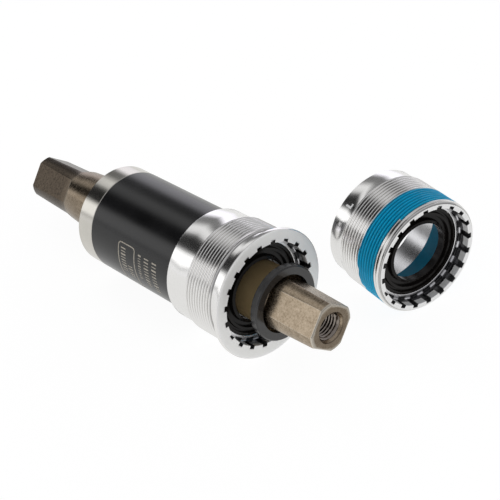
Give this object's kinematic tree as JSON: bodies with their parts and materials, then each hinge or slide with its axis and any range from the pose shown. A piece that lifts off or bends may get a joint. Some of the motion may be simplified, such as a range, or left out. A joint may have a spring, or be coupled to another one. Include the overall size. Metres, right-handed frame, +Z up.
{
  "type": "bottom bracket",
  "caption": "Sealed cartridge bottom bracket for bicycles: square-taper spindle in a sleeve with a flanged, splined drive cup, and a loose threaded left cup.",
  "frame": {"origin": "on the spindle axis, at the centre of the 68 mm frame shell: 34 mm inboard of the drive flange's seat, inside the black sleeve", "axes": "+Y along the spindle from the drive side to the left side, +Z up, +X to the side where the loose left cup lies"},
  "size_m": [0.0814, 0.1275, 0.0392],
  "materials": {
    "cup_aluminium": "polished, faces blasted",
    "sleeve_black": "satin black coating",
    "ring_steel": "polished",
    "spindle_steel": "ground, brown oil-hardened",
    "black_plastic": "semi-gloss",
    "bearing_steel": "ground",
    "cage_plastic": "moulded",
    "seal_rubber": "matte",
    "lock_compound": "dry coat"
  },
  "bodies": {
    "cartridge": {"cartridge_sleeve": "sleeve_black", "left_end_ring": "ring_steel", "drive_cup": "cup_aluminium", "drive_dust_cover": "black_plastic", "drive_outer_race": "bearing_steel", "left_outer_race": "bearing_steel", "drive_outboard_seal": "seal_rubber", "drive_inboard_seal": "seal_rubber", "left_outboard_seal": "seal_rubber", "left_inboard_seal": "seal_rubber"},
    "spindle_group": {"spindle": "spindle_steel", "spindle_collar": "black_plastic", "drive_inner_race": "bearing_steel", "left_inner_race": "bearing_steel"},
    "drive_ball_set": {"drive_balls": "bearing_steel", "drive_cage": "cage_plastic"},
    "left_ball_set": {"left_balls": "bearing_steel", "left_cage": "cage_plastic"},
    "loose_left_cup": {"left_cup": "cup_aluminium", "left_dust_cover": "black_plastic", "left_thread_lock_band": "lock_compound", "left_inner_band": "lock_compound"}
  },
  "joints": [
    {"name": "spindle_spin", "type": "hinge", "parent": "cartridge", "child": "spindle_group", "pos_m": [0, 0, 0], "axis": [0, 1, 0], "continuous": true},
    {"name": "drive_balls_roll", "type": "hinge", "parent": "cartridge", "child": "drive_ball_set", "pos_m": [0, -0.0254, 0], "axis": [0, 1, 0], "continuous": true},
    {"name": "left_balls_roll", "type": "hinge", "parent": "cartridge", "child": "left_ball_set", "pos_m": [0, 0.0268, 0], "axis": [0, 1, 0], "continuous": true},
    {"name": "left_cup_lift", "type": "slide", "parent": "cartridge", "child": "loose_left_cup", "axis": [0, 0, 1], "range_m": [0, 0.06]}
  ],
  "couplings": [
    {"joint": "drive_balls_roll", "follows": "spindle_spin", "ratio": 0.42257},
    {"joint": "left_balls_roll", "follows": "spindle_spin", "ratio": 0.42257}
  ]
}
